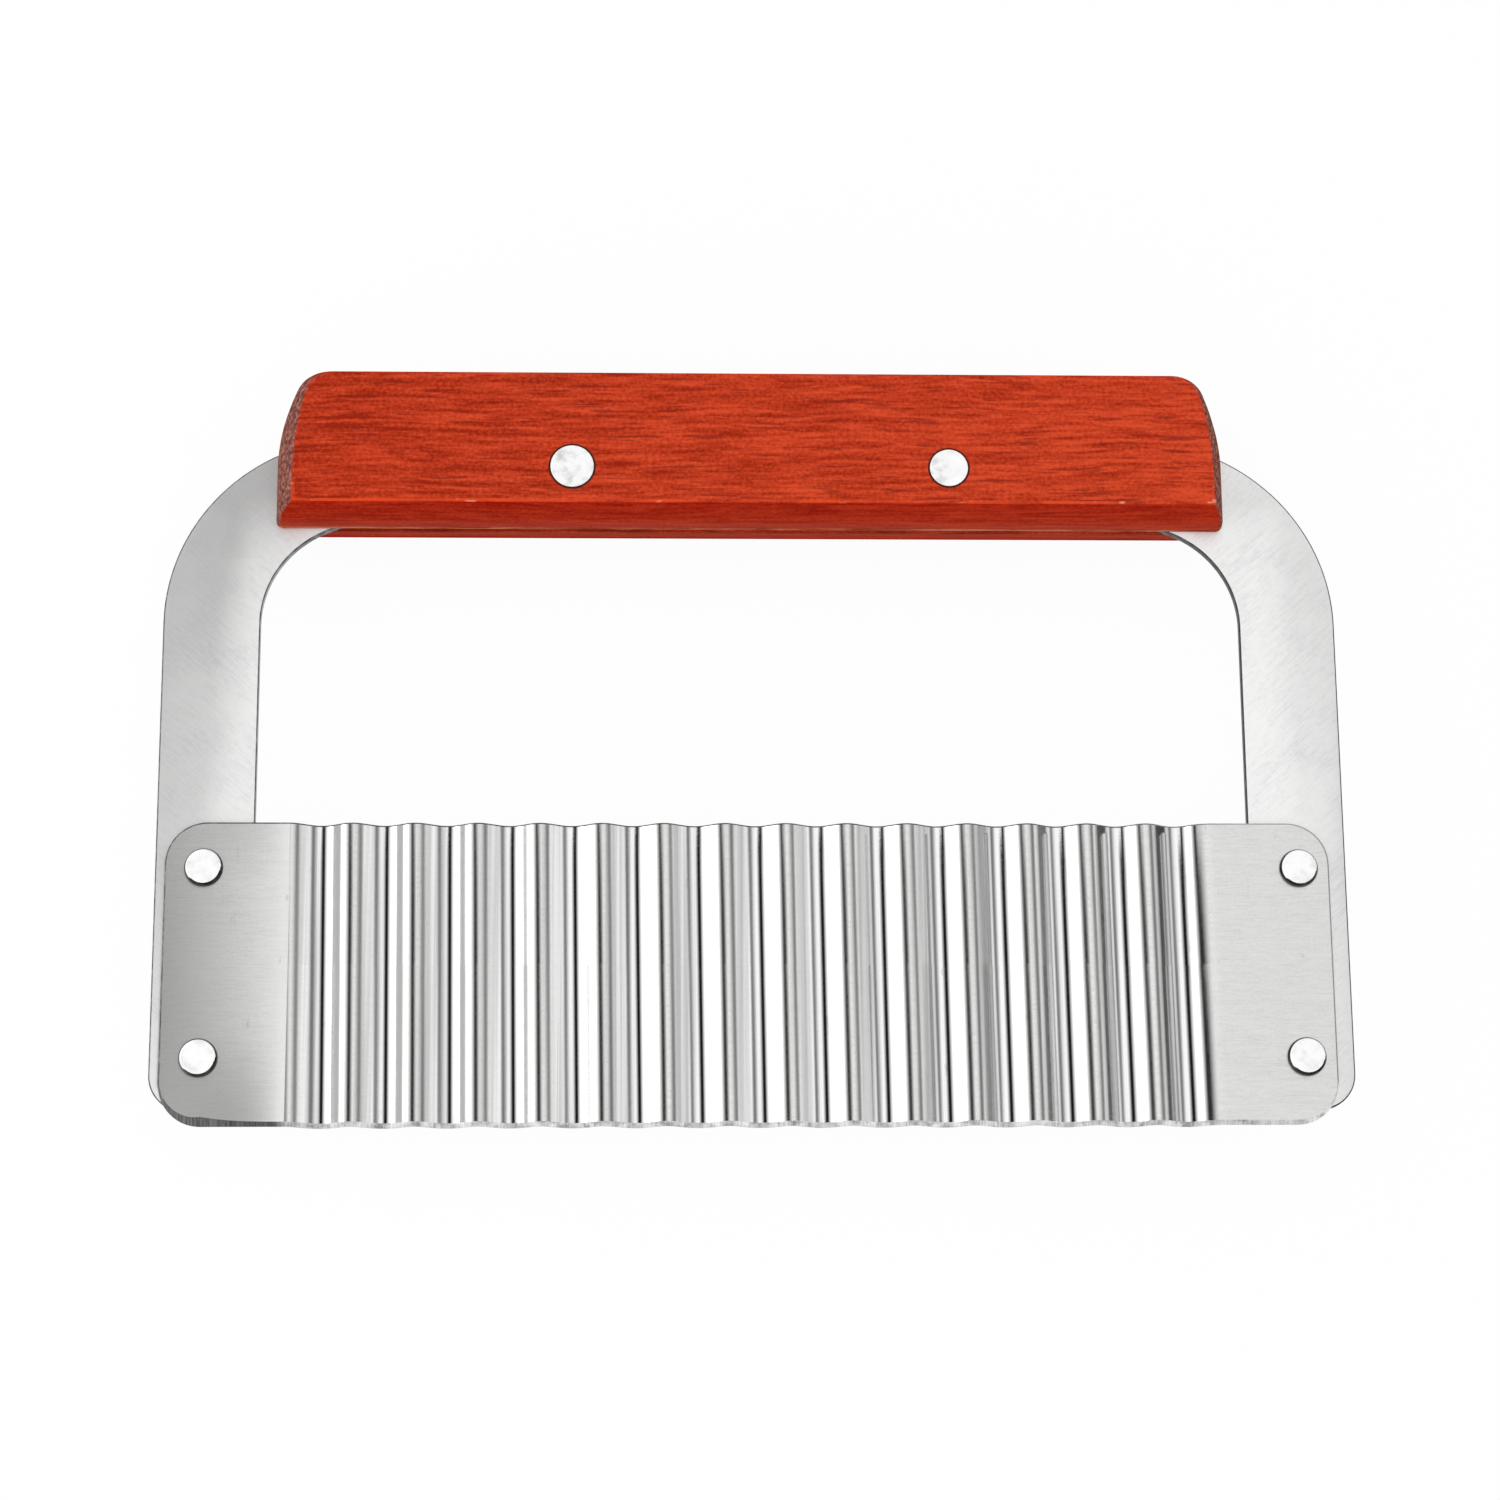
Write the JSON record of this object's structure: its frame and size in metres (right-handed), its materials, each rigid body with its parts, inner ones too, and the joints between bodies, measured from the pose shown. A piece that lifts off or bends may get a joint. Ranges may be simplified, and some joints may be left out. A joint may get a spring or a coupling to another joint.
{
  "type": "crinkle cutter",
  "caption": "Hand-held crinkle cutter: a corrugated steel blade riveted across the legs of a flat steel arch with a slotted wooden handle on its top bar.",
  "frame": {"origin": "centre of the overall width and height, on the plane of the handle's back face", "axes": "+X along the blade to the right, +Y from the cutting edge towards the handle, +Z out of the front face"},
  "size_m": [0.185, 0.12, 0.0196],
  "materials": {
    "frame_steel": "brushed on the slant",
    "blade_steel": "polished waves, brushed tabs",
    "handle_wood": "red stain under satin lacquer",
    "rivet_aluminium": "bright, hammered"
  },
  "bodies": {
    "root": {"frame": "frame_steel", "crinkle_blade": "blade_steel", "handle": "handle_wood", "handle_rivet_left": "rivet_aluminium", "handle_rivet_right": "rivet_aluminium", "blade_rivet_top_left": "rivet_aluminium", "blade_rivet_top_right": "rivet_aluminium", "blade_rivet_bottom_left": "rivet_aluminium", "blade_rivet_bottom_right": "rivet_aluminium"}
  },
  "joints": []
}
